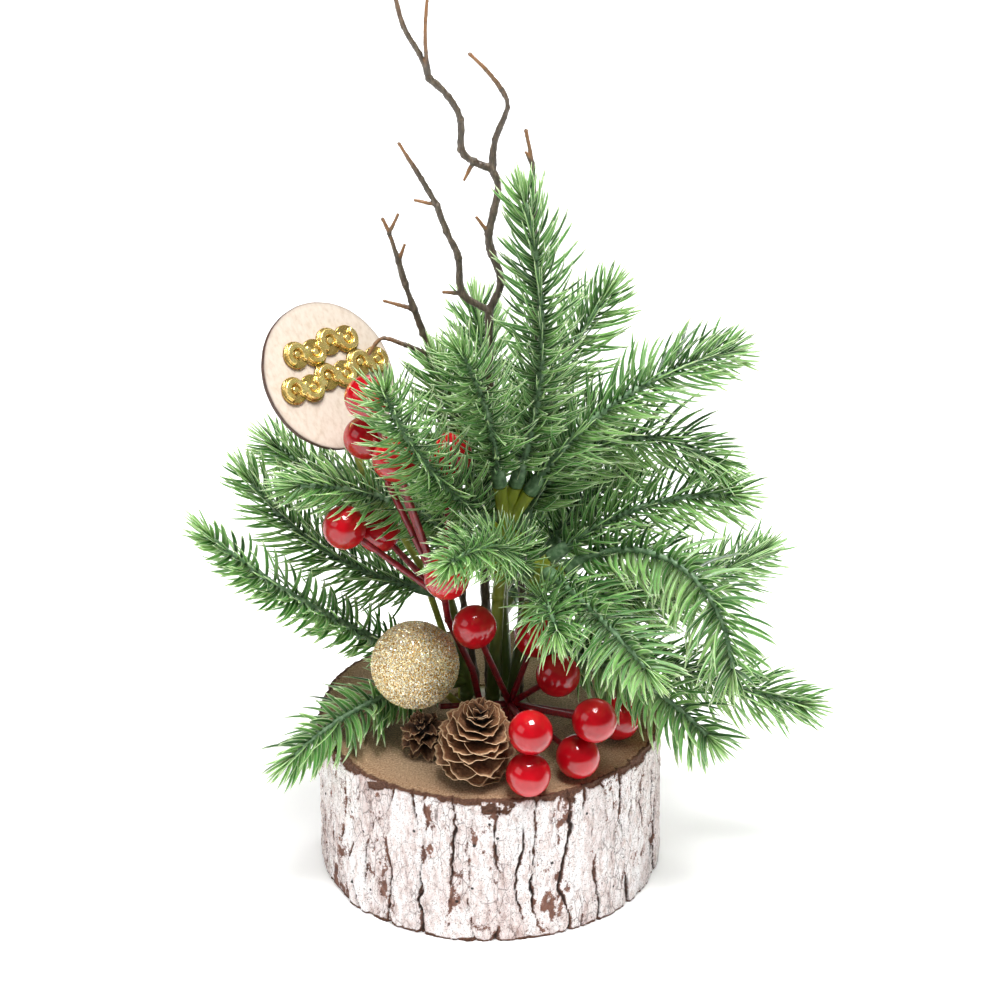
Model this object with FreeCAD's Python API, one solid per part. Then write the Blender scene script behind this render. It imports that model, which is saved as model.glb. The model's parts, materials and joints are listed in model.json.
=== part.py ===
import FreeCAD, Part
import math
import os

Vector = FreeCAD.Vector

# Artificial tabletop tree: push-on needle sprigs, twigs, berry picks, a glitter ball,
# two pine cones and a wooden disc, all set into a whitewashed slice of log.
# Millimetres. Origin at the centre of the log's flat underside, +Z up, front towards -Y.

# Log slice
BASE_DIAMETER = 120.0
BASE_HEIGHT = 56.0
BARK_THICKNESS = 4.5
HOLE_RADIUS = 14.0
HOLE_FLOOR = 20.0
HOLE_FOOT = Vector(0, 5, HOLE_FLOOR)
GLUE_TOP = BASE_HEIGHT - 1.0
ROD_FOOT = 24.0

# Push fit between a sprig's socket and a stem's peg
PEG_RADIUS = 1.50
PEG_LENGTH = 7.0
RUNNING_CLEARANCE = 0.05
PEG_ROOT = 1.0
SOCKET_RADIUS = 2.8
SOCKET_LENGTH = 8.0
BORE_END_GAP = 0.4
BORE_LEAD = 1.0
BOSS_RADIUS = 2.3
SEAT_GAP = 0.3

# Foliage body of a sprig: radius at its thickest and at the tip, and where it is thickest
SPRIG_RADIUS = 5.2
SPRIG_TIP_RADIUS = 1.2
SPRIG_FULLEST = 0.45
SPRIG_SECTIONS = 8

# Swelling of a rod at each of its knots, against the rod's own radius
KNOT_SWELL = 1.12
TWIG_KNOT_SWELL = 1.2
BEND_SWELL = 1.03
FLUSH_SWELL = 1.0001
CURVE_PIECES = 3

# Moulded stems: knots from the foot in the log to the tip
STEM_FOOT_RADIUS = 2.4
STEM_TIP_RADIUS = 2.1
STEMS = {
    "upper": [(1, 3, ROD_FOOT), (1, 3, 60), (3, 2, 100), (6, 1, 134)],
    "right": [(8, 5, ROD_FOOT), (8, 5, 60), (12, 6, 88), (17, 1, 112)],
    "left": [(-8, 5, ROD_FOOT), (-8, 5, 60), (-10, 7, 80), (-15, 5, 100)],
    "back": [(6, 13, ROD_FOOT), (6, 13, 60), (4, 22, 90), (2, 28, 112)],
}

# Sprigs: stem, height of the branch on it, boss length, azimuth and elevation of the peg
# (degrees, azimuth 0 = +X, -90 = front), sprig length, then how far the tip droops and
# sweeps round (degrees) from the peg's direction
SPRIGS = {
    "sprig_upper_1": ("upper", 134, 9.5, -19, 73, 110, -36, -18),
    "sprig_upper_2": ("upper", 124, 19, 44, 67, 76, 20, -18),
    "sprig_upper_3": ("upper", 127, 15, 2, 58, 92, 59, 23),
    "sprig_upper_4": ("upper", 111, 15, 24, 63, 90, 106, -45),
    "sprig_upper_5": ("upper", 126, 20, -109, 74, 70, 21, -20),
    "sprig_upper_6": ("upper", 110, 12, 152, 71, 69, 0, -7),
    "sprig_upper_7": ("upper", 123, 10, -138, 46, 96, -10, 32),
    "sprig_upper_8": ("upper", 110, 12, -175, 43, 75, 41, 14),
    "sprig_right_1": ("right", 112, 4.5, 7, 38, 74, 44, -11),
    "sprig_right_2": ("right", 104, 13, -11, 34, 92, 120, -60),
    "sprig_right_3": ("right", 112, 6, -63, 4, 69, 29, 10),
    "sprig_right_4": ("right", 81, 9, -23, -3, 74, 26, -25),
    "sprig_right_5": ("right", 88, 11, 1, -21, 96, -11, -12),
    "sprig_right_6": ("right", 92, 11, 23, -6, 98, -10, 25),
    "sprig_right_7": ("right", 95, 7, 5, 7, 49, 23, 5),
    "sprig_right_8": ("right", 106, 8, 56, 41, 51, 30, -43),
    "sprig_right_9": ("right", 105, 10, -110, 46, 80, 44, -8),
    "sprig_right_10": ("right", 98, 9, -80, 29, 49, 49, -1),
    "sprig_left_1": ("left", 100, 3, 172, 8, 84, -47, -17),
    "sprig_left_2": ("left", 67, 9, -167, 29, 105, -19, 3),
    "sprig_left_3": ("left", 65, 8, -147, 10, 70, 52, -4),
    "sprig_back_1": ("back", 98, 6, 166, 19, 92, -12, -11),
    "sprig_back_2": ("back", 112, 3, 100, 71, 82, 21, 1),
    "sprig_back_3": ("back", 91, 6, 61, 27, 89, 20, 7),
    "sprig_back_4": ("back", 96, 10, 120, 15, 85, 19, 0),
    "sprig_back_5": ("back", 84, 9, 75, -3, 77, 10, -5),
}

# Twigs: each arm is a smooth curve through its knots (x, y, z), tapering from the radius at
# its foot to the radius at its tip
TWIGS = {
    "twig_main": [
        (1.7, 1.2, [(0, 13.5, ROD_FOOT), (0, 13.5, 60), (-2, 15, 110), (0, 13, 150), (0, 12, 188),
                    (0, 12, 202)]),
        (1.1, 1.0, [(0, 12, 202), (-9, 12, 208), (-10, 11, 221), (-14, 12, 230), (-17, 12, 239)]),
        (1.0, 0.5, [(-17, 12, 239), (-22, 12, 248), (-29, 12, 260)]),
        (0.7, 0.4, [(-17, 12, 239), (-24, 11, 241)]),
        (0.8, 0.5, [(-9, 12, 208), (-15, 13, 208)]),
        (1.25, 1.1, [(0, 12, 202), (4, 12, 212), (1, 12, 222), (0, 12, 229), (3, 13, 244),
                    (1, 13, 251)]),
        (0.7, 0.4, [(0, 12, 229), (-4, 11, 235)]),
        (1.1, 1.0, [(1, 13, 251), (-5, 12, 254), (-9, 12, 258), (-9, 12, 268), (-13, 12, 276),
                    (-19, 12, 282)]),
        (0.7, 0.4, [(-5, 12, 254), (-8, 11, 248)]),
        (0.9, 0.6, [(-19, 12, 282), (-22, 12, 290), (-27, 12, 299), (-30, 12, 311)]),
        (0.7, 0.4, [(-19, 12, 282), (-20, 11, 291), (-20, 11, 301), (-19, 12, 312)]),
        (1.0, 0.5, [(1, 13, 251), (2, 13, 261), (6, 13, 272), (4, 13, 278), (-1, 12, 285),
                    (-6, 12, 290)]),
    ],
    "twig_left": [
        (1.4, 1.1, [(-5, 13.5, ROD_FOOT), (-5, 13.5, 60), (-12, 17, 110), (-16, 19, 150),
                    (-17.5, 20, 180)]),
        (1.1, 0.9, [(-17.5, 20, 180), (-22, 20, 190), (-25, 20, 199), (-28, 20, 208),
                    (-30, 20, 216)]),
        (0.7, 0.4, [(-25, 20, 199), (-35, 20, 202)]),
        (0.7, 0.4, [(-30, 20, 216), (-28, 20, 222)]),
        (0.8, 0.5, [(-30, 20, 216), (-33, 20, 226), (-35, 20, 231)]),
        (0.7, 0.4, [(-33, 20, 226), (-30, 19, 233)]),
        (0.9, 0.5, [(-17.5, 20, 180), (-22, 16, 185), (-28, 13, 189), (-35, 12, 192),
                    (-38, 11, 190), (-40, 10, 187)]),
    ],
    "twig_right": [
        (1.3, 0.9, [(10.5, 11, ROD_FOOT), (10.5, 11, 60), (12, 19, 120), (15, 19, 180),
                    (15, 16, 236)]),
        (0.9, 0.5, [(15, 16, 236), (14, 16, 252), (12, 16, 263)]),
        (0.7, 0.4, [(14, 16, 252), (12, 15, 256)]),
    ],
}

# Berries and their picks: a pick is a foot, a hub and one wire from the hub to each berry
BERRY_RADIUS = 7.5
BERRY_WIRE_RADIUS = 1.0
BERRY_WIRE_FOOT_RADIUS = 1.2
BERRY_WIRE_DEPTH = 4.0
BERRY_PICKS = {
    "front": {
        "stem": [(6, -3.5, ROD_FOOT), (6, -3.5, 56), (7, -4, 61)],
        "radius": 2.0,
        "berries": [(13, -55.5, 63.7), (13.7, -54.5, 79.2), (29.7, -44, 63.7), (35, -45.5, 78.5),
                    (44, -19.5, 64), (23.3, -18, 80.3), (15.8, -8, 90), (-5, -20, 100)],
        "bare_end": (-17, -11, 64),
    },
    "upper": {
        "stem": [(-3, -1.5, ROD_FOOT), (-3, -1.5, 58), (-6, -6, 76), (-14, -13, 99),
                 (-15, -17, 109)],
        "radius": 1.2,
        "berries": [(-40, -10, 180), (-41, -5, 163.3), (-31, -17, 161), (-13, -4, 156.5),
                    (-48.5, -10, 132.5), (-37.6, -0.5, 126.4), (-14, -28, 123)],
        "bare_end": None,
    },
}

# Glitter ball and its stick
BALL_RADIUS = 15.0
BALL_CENTRE = Vector(-25.2, -20, 85.4)
BALL_STICK_RADIUS = 1.3
BALL_STICK_DEPTH = 8.0
BALL_STICK_FOOT = [(-9, -1, ROD_FOOT), (-9, -1, 57)]

# Pine cones: middle of the seat end, direction to the tip, length, widest radius, whorls.
# The whorls follow a sine from the first angle at the seat to the second at the tip.
CONE_FOOT_ANGLE = 54.0
CONE_TIP_ANGLE = 166.0
CONE_CORE_SHARE = 0.62
WHORL_UNDERSIDE = 0.55
WHORL_TOPSIDE = 0.75
CONES = {
    "cone_front": (Vector(-5.8, -41.3, 58.9), Vector(3, -10, 27), 31.0, 13.3, 7),
    "cone_back": (Vector(-20.6, -27, 58.3), Vector(-4, -5, 15), 13.2, 9.0, 4),
}

# Wooden disc on its stick, with a gilt scroll ornament on the face
DISC_RADIUS = 25.5
DISC_THICKNESS = 2.0
DISC_CENTRE = Vector(-54, 16, 176.5)
DISC_NORMAL = Vector(0.558, -0.618, 0.554)
DISC_STICK_RADIUS = 1.2
DISC_STICK_DROP = 34.0
DISC_STICK_END = 8.0
DISC_STICK_FOOT = [(-10, 11, ROD_FOOT), (-10, 11, 60), (-24, 17, 104)]
ORNAMENT_ROLL = 4.0
# Rows of the ornament: number of scrolls, middle and height from the disc's centre
ORNAMENT_ROWS = [(4, 1.0, 9.8), (6, 1.5, -0.8)]
BACKING_RADIUS = 4.7
BACKING_THICKNESS = 1.0
SCROLL_PITCH = 7.2
SCROLL_STAGGER = 0.8
SCROLL_RADIUS = 3.0
SCROLL_WIDTH = 1.7
SCROLL_HEIGHT = 2.4
SCROLL_SWEEP = 280.0
SCROLL_START = -50.0
SCROLL_EYE_RADIUS = 1.1
SCROLL_EYE_HEIGHT = 2.0


def unit(vector):
    return Vector(vector) / vector.Length


def direction(azimuth, elevation):
    turn = math.radians(azimuth)
    rise = math.radians(elevation)
    return Vector(math.cos(rise) * math.cos(turn), math.cos(rise) * math.sin(turn), math.sin(rise))


def tapered(start, end, start_radius, end_radius):
    """A straight round rod between two points."""
    axis = end - start
    if start_radius == end_radius:
        return Part.makeCylinder(start_radius, axis.Length, start, axis)
    return Part.makeCone(start_radius, end_radius, axis.Length, start, axis)


def rod_solids(points, foot_radius, tip_radius, swell=KNOT_SWELL):
    """Straight rods through the points, with a slightly swollen knot at each bend and at the tip."""
    knots = [Vector(*point) for point in points]
    lengths = [(b - a).Length for a, b in zip(knots, knots[1:])]
    total = sum(lengths)
    run = 0.0
    solids = []
    for start, end, length in zip(knots, knots[1:], lengths):
        first = foot_radius + (tip_radius - foot_radius) * run / total
        run += length
        last = foot_radius + (tip_radius - foot_radius) * run / total
        solids.append(tapered(start, end, first, last))
        solids.append(Part.makeSphere(last * swell, end))
    return solids


def curve_through(points):
    """Points on a smooth curve (Catmull-Rom) through the knots, with the knots among them."""
    knots = [Vector(*point) for point in points]
    knots = [knots[0] * 2 - knots[1]] + knots + [knots[-1] * 2 - knots[-2]]
    curve = [knots[1]]
    for before, start, end, after in zip(knots, knots[1:], knots[2:], knots[3:]):
        for piece in range(1, CURVE_PIECES + 1):
            t = piece / CURVE_PIECES
            square_term = before * 2 - start * 5 + end * 4 - after
            cubic_term = start * 3 - before - end * 3 + after
            curve.append(start + (end - before + square_term * t + cubic_term * t * t) * (t / 2))
    return curve


def curved_arm(points, foot_radius, tip_radius):
    """Short tapering rods along a smooth curve, with a swollen knot at each of the given points."""
    curve = curve_through(points)
    lengths = [(b - a).Length for a, b in zip(curve, curve[1:])]
    solids = [Part.makeSphere(foot_radius * TWIG_KNOT_SWELL, curve[0])]
    run = 0.0
    for index, (start, end, length) in enumerate(zip(curve, curve[1:], lengths), start=1):
        first = foot_radius + (tip_radius - foot_radius) * run / sum(lengths)
        run += length
        last = foot_radius + (tip_radius - foot_radius) * run / sum(lengths)
        solids.append(tapered(start, end, first, last))
        at_knot = index % CURVE_PIECES == 0
        solids.append(Part.makeSphere(last * (TWIG_KNOT_SWELL if at_knot else BEND_SWELL), end))
    return solids


def fused(solids):
    shape = solids[0].multiFuse(solids[1:]) if len(solids) > 1 else solids[0]
    return shape.Solids[0] if len(shape.Solids) == 1 else shape


def point_at_height(points, height):
    for low, high in zip(points, points[1:]):
        if low[2] <= height <= high[2]:
            share = (height - low[2]) / (high[2] - low[2])
            return Vector(*low) + (Vector(*high) - Vector(*low)) * share
    raise ValueError("height is off the stem")


def sprig_root(name):
    """Where the peg starts, at the end of its boss, and the direction that it points."""
    stem, height, boss, azimuth, elevation = SPRIGS[name][:5]
    way = direction(azimuth, elevation)
    return point_at_height(STEMS[stem], height) + way * boss, way


def sprig_line(name):
    """Centres and directions of the sections from the socket's mouth to the tip."""
    azimuth, elevation, length, droop, sweep = SPRIGS[name][3:]
    root, way = sprig_root(name)
    centres = [root, root + way * SOCKET_LENGTH]
    ways = [way, way]
    step = (length - SOCKET_LENGTH) / SPRIG_SECTIONS
    for index in range(SPRIG_SECTIONS):
        middle = (index + 0.5) / SPRIG_SECTIONS
        chord = direction(azimuth + sweep * middle, elevation - droop * middle)
        share = (index + 1) / SPRIG_SECTIONS
        centres.append(centres[-1] + chord * step)
        ways.append(direction(azimuth + sweep * share, elevation - droop * share))
    return centres, ways


def sprig_radius(share):
    """Radius of the foliage body, from the socket (0) to the tip (1)."""
    if share < SPRIG_FULLEST:
        swell = 0.5 - 0.5 * math.cos(math.pi * share / SPRIG_FULLEST)
        return SOCKET_RADIUS + (SPRIG_RADIUS - SOCKET_RADIUS) * swell
    fall = (share - SPRIG_FULLEST) / (1 - SPRIG_FULLEST)
    return SPRIG_TIP_RADIUS + (SPRIG_RADIUS - SPRIG_TIP_RADIUS) * math.cos(0.5 * math.pi * fall)


def ring(centre, way, radius, across):
    """A circle square to its way, with its seam on the side nearest to across."""
    turn = FreeCAD.Rotation(across, Vector(0, 0, 0), way, "ZXY")
    circle = Part.makeCircle(radius)
    circle.Placement = FreeCAD.Placement(centre, turn)
    return Part.Wire([circle])


def make_sprig(name):
    centres, ways = sprig_line(name)
    radii = [SOCKET_RADIUS, SOCKET_RADIUS]
    radii += [sprig_radius((index + 1) / SPRIG_SECTIONS) for index in range(SPRIG_SECTIONS)]
    across = direction(SPRIGS[name][3] - 90, 0)
    rings = []
    for centre, way, radius in zip(centres, ways, radii):
        rings.append(ring(centre, way, radius, across))
    body = Part.makeLoft(rings, True, True)
    bore_length = BORE_LEAD + PEG_LENGTH + BORE_END_GAP
    bore_start = centres[0] - ways[0] * BORE_LEAD
    bore = Part.makeCylinder(PEG_RADIUS + RUNNING_CLEARANCE, bore_length, bore_start, ways[0])
    return body.cut(bore).Solids[0]


def make_stem(name):
    """A moulded stem with a boss and a peg for each of its sprigs."""
    solids = rod_solids(STEMS[name], STEM_FOOT_RADIUS, STEM_TIP_RADIUS)
    for sprig, row in SPRIGS.items():
        if row[0] != name:
            continue
        root, way = sprig_root(sprig)
        branch = point_at_height(STEMS[name], row[1])
        solids.append(tapered(branch, root - way * SEAT_GAP, STEM_TIP_RADIUS, BOSS_RADIUS))
        solids.append(Part.makeCylinder(PEG_RADIUS, PEG_ROOT + PEG_LENGTH, root - way * PEG_ROOT, way))
    return fused(solids)


def make_twig(name):
    solids = []
    for foot_radius, tip_radius, points in TWIGS[name]:
        solids += curved_arm(points, foot_radius, tip_radius)
    return fused(solids)


def make_berry_stems(pick):
    solids = rod_solids(pick["stem"], pick["radius"], pick["radius"])
    hub = Vector(*pick["stem"][-1])
    for berry in pick["berries"]:
        centre = Vector(*berry)
        way = unit(centre - hub)
        end = centre - way * (BERRY_RADIUS - BERRY_WIRE_DEPTH)
        solids.append(tapered(hub, end, BERRY_WIRE_FOOT_RADIUS, BERRY_WIRE_RADIUS))
    if pick["bare_end"]:
        end = Vector(*pick["bare_end"])
        solids.append(tapered(hub, end, BERRY_WIRE_FOOT_RADIUS, BERRY_WIRE_RADIUS))
    return fused(solids)


def make_cone(seat, axis, length, widest, whorls):
    """A woody core with whorls of scales that flare outwards and close up towards the tip."""
    outline = [(0.0, 0.0)]
    pitch = length / whorls
    for index in range(whorls):
        angle = CONE_FOOT_ANGLE + (CONE_TIP_ANGLE - CONE_FOOT_ANGLE) * (index + 0.5) / whorls
        rim = widest * math.sin(math.radians(angle))
        base = index * pitch
        outline.append((rim * CONE_CORE_SHARE, base))
        outline.append((rim, base + pitch * WHORL_UNDERSIDE))
        outline.append((rim, base + pitch * WHORL_TOPSIDE))
    outline.append((0.0, length))
    points = [Vector(radius, 0, height) for radius, height in outline]
    profile = Part.Face(Part.makePolygon(points + [points[0]]))
    solid = profile.revolve(Vector(0, 0, 0), Vector(0, 0, 1), 360).Solids[0]
    solid.Placement = FreeCAD.Placement(seat, FreeCAD.Rotation(Vector(0, 0, 1), axis))
    return solid


def disc_axes():
    """Right and up directions in the disc's face."""
    normal = unit(DISC_NORMAL)
    right = unit(Vector(0, 0, 1).cross(normal))
    return right, normal.cross(right), normal


def disc_stick_points():
    """Up from the log, then flat along the back of the disc to its middle."""
    up, normal = disc_axes()[1:]
    middle = DISC_CENTRE - normal * (DISC_THICKNESS / 2 + DISC_STICK_RADIUS)
    elbow = middle - up * DISC_STICK_DROP
    end = middle + up * DISC_STICK_END
    return DISC_STICK_FOOT + [(elbow.x, elbow.y, elbow.z), (end.x, end.y, end.z)]


def make_disc_stick():
    points = disc_stick_points()
    return fused(rod_solids(points, DISC_STICK_RADIUS, DISC_STICK_RADIUS, FLUSH_SWELL))


def scroll_ring(centre, start):
    """An open ring that stands on the backing's underside, from the start angle in degrees."""
    upright = Vector(0, 0, 1)
    outer_radius = SCROLL_RADIUS + SCROLL_WIDTH / 2
    inner_radius = SCROLL_RADIUS - SCROLL_WIDTH / 2
    outer = Part.makeCylinder(outer_radius, SCROLL_HEIGHT, centre, upright, SCROLL_SWEEP)
    outer.rotate(centre, upright, start)
    return outer.cut(Part.makeCylinder(inner_radius, SCROLL_HEIGHT, centre, upright))


def make_ornament():
    """Two rows of scrolls and eyes on a scalloped backing that lies on the face of the disc."""
    solids = []
    for count, middle, height in ORNAMENT_ROWS:
        left = middle - SCROLL_PITCH * (count - 1) / 2
        for index in range(count):
            up_turned = index % 2 == 0
            stagger = SCROLL_STAGGER if up_turned else -SCROLL_STAGGER
            centre = Vector(left + index * SCROLL_PITCH, height + stagger, 0)
            solids.append(Part.makeCylinder(BACKING_RADIUS, BACKING_THICKNESS, centre))
            solids.append(scroll_ring(centre, SCROLL_START if up_turned else SCROLL_START + 180))
            solids.append(Part.makeCylinder(SCROLL_EYE_RADIUS, SCROLL_EYE_HEIGHT, centre))
    shape = fused(solids)
    right, up, normal = disc_axes()
    roll = math.radians(ORNAMENT_ROLL)
    along = right * math.cos(roll) + up * math.sin(roll)
    turn = FreeCAD.Rotation(along, normal.cross(along), normal, "ZXY")
    shape.Placement = FreeCAD.Placement(DISC_CENTRE + normal * (DISC_THICKNESS / 2), turn)
    return shape


def berry_nodes():
    """The wires of each pick, and its berries pushed on the ends of the wires."""
    nodes = {}
    for name, pick in BERRY_PICKS.items():
        wires = make_berry_stems(pick)
        nodes["berry_stems_" + name] = wires
        for index, berry in enumerate(pick["berries"]):
            ball = Part.makeSphere(BERRY_RADIUS, Vector(*berry)).cut(wires)
            nodes["berry_%s_%d" % (name, index + 1)] = ball.Solids[0]
    return nodes


def glitter_ball_nodes():
    """A ball and the stick that is pushed into it from the log's side."""
    elbow = Vector(*BALL_STICK_FOOT[-1])
    end = BALL_CENTRE - unit(BALL_CENTRE - elbow) * (BALL_RADIUS - BALL_STICK_DEPTH)
    stick = fused(rod_solids(BALL_STICK_FOOT + [tuple(end)], BALL_STICK_RADIUS, BALL_STICK_RADIUS))
    ball = Part.makeSphere(BALL_RADIUS, BALL_CENTRE).cut(stick)
    return {"ball_stick": stick, "glitter_ball": ball.Solids[0]}


def plaque_nodes():
    """The wooden disc, the stick along its back and the ornament on its face."""
    normal = disc_axes()[2]
    back_face = DISC_CENTRE - normal * (DISC_THICKNESS / 2)
    return {
        "plaque_disc": Part.makeCylinder(DISC_RADIUS, DISC_THICKNESS, back_face, normal),
        "plaque_stick": make_disc_stick(),
        "plaque_ornament": make_ornament(),
    }


def log_nodes():
    """The wood of the log, with the hole for the glue, and the bark round it."""
    wood_radius = BASE_DIAMETER / 2 - BARK_THICKNESS
    wood = Part.makeCylinder(wood_radius, BASE_HEIGHT)
    hole = Part.makeCylinder(HOLE_RADIUS, BASE_HEIGHT, HOLE_FOOT)
    whole = Part.makeCylinder(BASE_DIAMETER / 2, BASE_HEIGHT)
    return {"base_log": wood.cut(hole), "base_bark": whole.cut(wood)}


def make_glue_plug(nodes):
    """Set glue that fills the hole round every rod that stands in it."""
    glue = Part.makeCylinder(HOLE_RADIUS, GLUE_TOP - HOLE_FLOOR, HOLE_FOOT)
    for name, shape in nodes.items():
        if name.startswith(("stem_", "twig_", "berry_stems_")) or name.endswith("_stick"):
            glue = glue.cut(shape)
    return glue.Solids[0] if len(glue.Solids) == 1 else glue


def build():
    nodes = {}
    for name in STEMS:
        nodes["stem_" + name] = make_stem(name)
    for name in SPRIGS:
        nodes[name] = make_sprig(name)
    for name in TWIGS:
        nodes[name] = make_twig(name)
    nodes.update(berry_nodes())
    nodes.update(glitter_ball_nodes())
    for name, row in CONES.items():
        nodes[name] = make_cone(*row)
    nodes.update(plaque_nodes())
    nodes.update(log_nodes())
    nodes["glue_plug"] = make_glue_plug(nodes)
    return nodes


def main():
    os.makedirs("parts", exist_ok=True)
    for name, shape in build().items():
        shape.exportStep("parts/%s.step" % name)


main()
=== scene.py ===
import json
import math

import bpy
import numpy as np
from mathutils import Matrix, Vector
from mathutils.bvhtree import BVHTree


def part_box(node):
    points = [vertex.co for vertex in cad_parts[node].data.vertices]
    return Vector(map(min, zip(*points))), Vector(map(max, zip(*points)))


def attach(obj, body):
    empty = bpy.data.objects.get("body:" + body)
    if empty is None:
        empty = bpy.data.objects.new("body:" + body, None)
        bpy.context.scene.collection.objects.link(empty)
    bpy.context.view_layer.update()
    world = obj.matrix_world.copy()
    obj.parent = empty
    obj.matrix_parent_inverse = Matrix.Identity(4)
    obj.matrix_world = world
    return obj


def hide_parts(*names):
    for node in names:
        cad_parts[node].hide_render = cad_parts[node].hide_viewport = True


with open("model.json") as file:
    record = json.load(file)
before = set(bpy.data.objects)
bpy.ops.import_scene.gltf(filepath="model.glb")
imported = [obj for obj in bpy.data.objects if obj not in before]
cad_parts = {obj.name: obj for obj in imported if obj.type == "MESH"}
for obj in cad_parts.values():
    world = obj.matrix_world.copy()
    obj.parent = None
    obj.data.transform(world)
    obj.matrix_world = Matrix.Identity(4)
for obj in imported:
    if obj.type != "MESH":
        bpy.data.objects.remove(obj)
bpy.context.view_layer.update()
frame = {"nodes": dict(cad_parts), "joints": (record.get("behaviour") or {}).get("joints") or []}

# Shapes are in mm, with Z up and the middle of the log's underside at the origin. What the frame gives,
# shader scales, the stage, the lights and the camera are in metres.
MM = 0.001
TREE = "tree"
NODES = frame["nodes"]
GOLDEN_ANGLE = math.pi * (3 - math.sqrt(5))


# ---- small helpers

def unit(v):
    """A vector, or each row of a table of vectors, at length 1."""
    v = np.asarray(v, float)
    return v / (np.linalg.norm(v, axis=-1, keepdims=True) + 1e-12)


def swing(side, over, turn):
    """The way at an angle from side towards over."""
    return side * math.cos(turn) + over * math.sin(turn)


def columns(*values):
    """Arrays, and numbers repeated to their length, as the columns of one table."""
    return np.stack(np.broadcast_arrays(*values), axis=1)


def vertex_table(mesh, key):
    """One vector per vertex of a mesh, such as co or normal."""
    table = np.empty(len(mesh.vertices) * 3)
    mesh.vertices.foreach_get(key, table)
    return table.reshape(-1, 3)


def node_points(name):
    """Vertices of a CAD node at rest, in mm."""
    return vertex_table(NODES[name].data, "co") / MM


def node_box(name):
    return (np.array(corner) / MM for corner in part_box(name))


def node_centre(name):
    low, high = node_box(name)
    return (low + high) / 2


def node_half(name):
    """Half of a CAD node's box along each axis."""
    low, high = node_box(name)
    return (high - low) / 2


def ring_faces(rings, count, start=0):
    """Quads between rings of count vertices each; the first ring begins at vertex start."""
    faces = []
    for ring in range(rings - 1):
        low = start + ring * count
        for index in range(count):
            following = (index + 1) % count
            faces.append((low + index, low + following, low + count + following, low + count + index))
    return faces


def shifted(faces, shift):
    return [tuple(vertex + shift for vertex in face) for face in faces]


def add_object(name, data):
    made = bpy.data.objects.new(name, data)
    bpy.context.scene.collection.objects.link(made)
    return made


def make_piece(name, verts, faces, material, body, replaced, smooth=True, data=None):
    """A mesh piece in the place of the replaced CAD nodes; data holds vector attributes by name."""
    mesh = bpy.data.meshes.new(name)
    mesh.from_pydata([tuple(v) for v in np.asarray(verts) * MM], [], [tuple(f) for f in faces])
    mesh.materials.append(material)
    for key, values in (data or {}).items():
        layer = mesh.attributes.new(key, "FLOAT_VECTOR", "POINT")
        layer.data.foreach_set("vector", np.asarray(values, float).ravel())
    mesh.update()
    if smooth:
        mesh.polygons.foreach_set("use_smooth", [True] * len(mesh.polygons))
    piece = add_object(name, mesh)
    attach(piece, body)
    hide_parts(*replaced)
    return piece


def value_noise(points, seed):
    """Smooth value noise, 0 to 1, at the given points (n, 3); one cell per unit, repeating after 64."""
    size = 64
    grid = np.random.default_rng(seed).random((size, size, size))
    cell = np.floor(points).astype(int)
    part = points - cell
    part = part * part * (3 - 2 * part)
    total = np.zeros(len(points))
    for dx in (0, 1):
        for dy in (0, 1):
            for dz in (0, 1):
                weight = (np.where(dx, part[:, 0], 1 - part[:, 0])
                          * np.where(dy, part[:, 1], 1 - part[:, 1])
                          * np.where(dz, part[:, 2], 1 - part[:, 2]))
                total += weight * grid[(cell[:, 0] + dx) % size, (cell[:, 1] + dy) % size,
                                       (cell[:, 2] + dz) % size]
    return total


def fractal(points, seed, octaves=4):
    """Octaves of value noise, each finer and half as strong as the one before, 0 to 1."""
    total, scale, weight, norm = 0.0, 1.0, 1.0, 0.0
    for octave in range(octaves):
        total = total + weight * value_noise(points * scale + 17.0 * octave, seed + octave)
        norm += weight
        scale *= 2.03
        weight *= 0.5
    return total / norm


# ---- shader helpers

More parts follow.
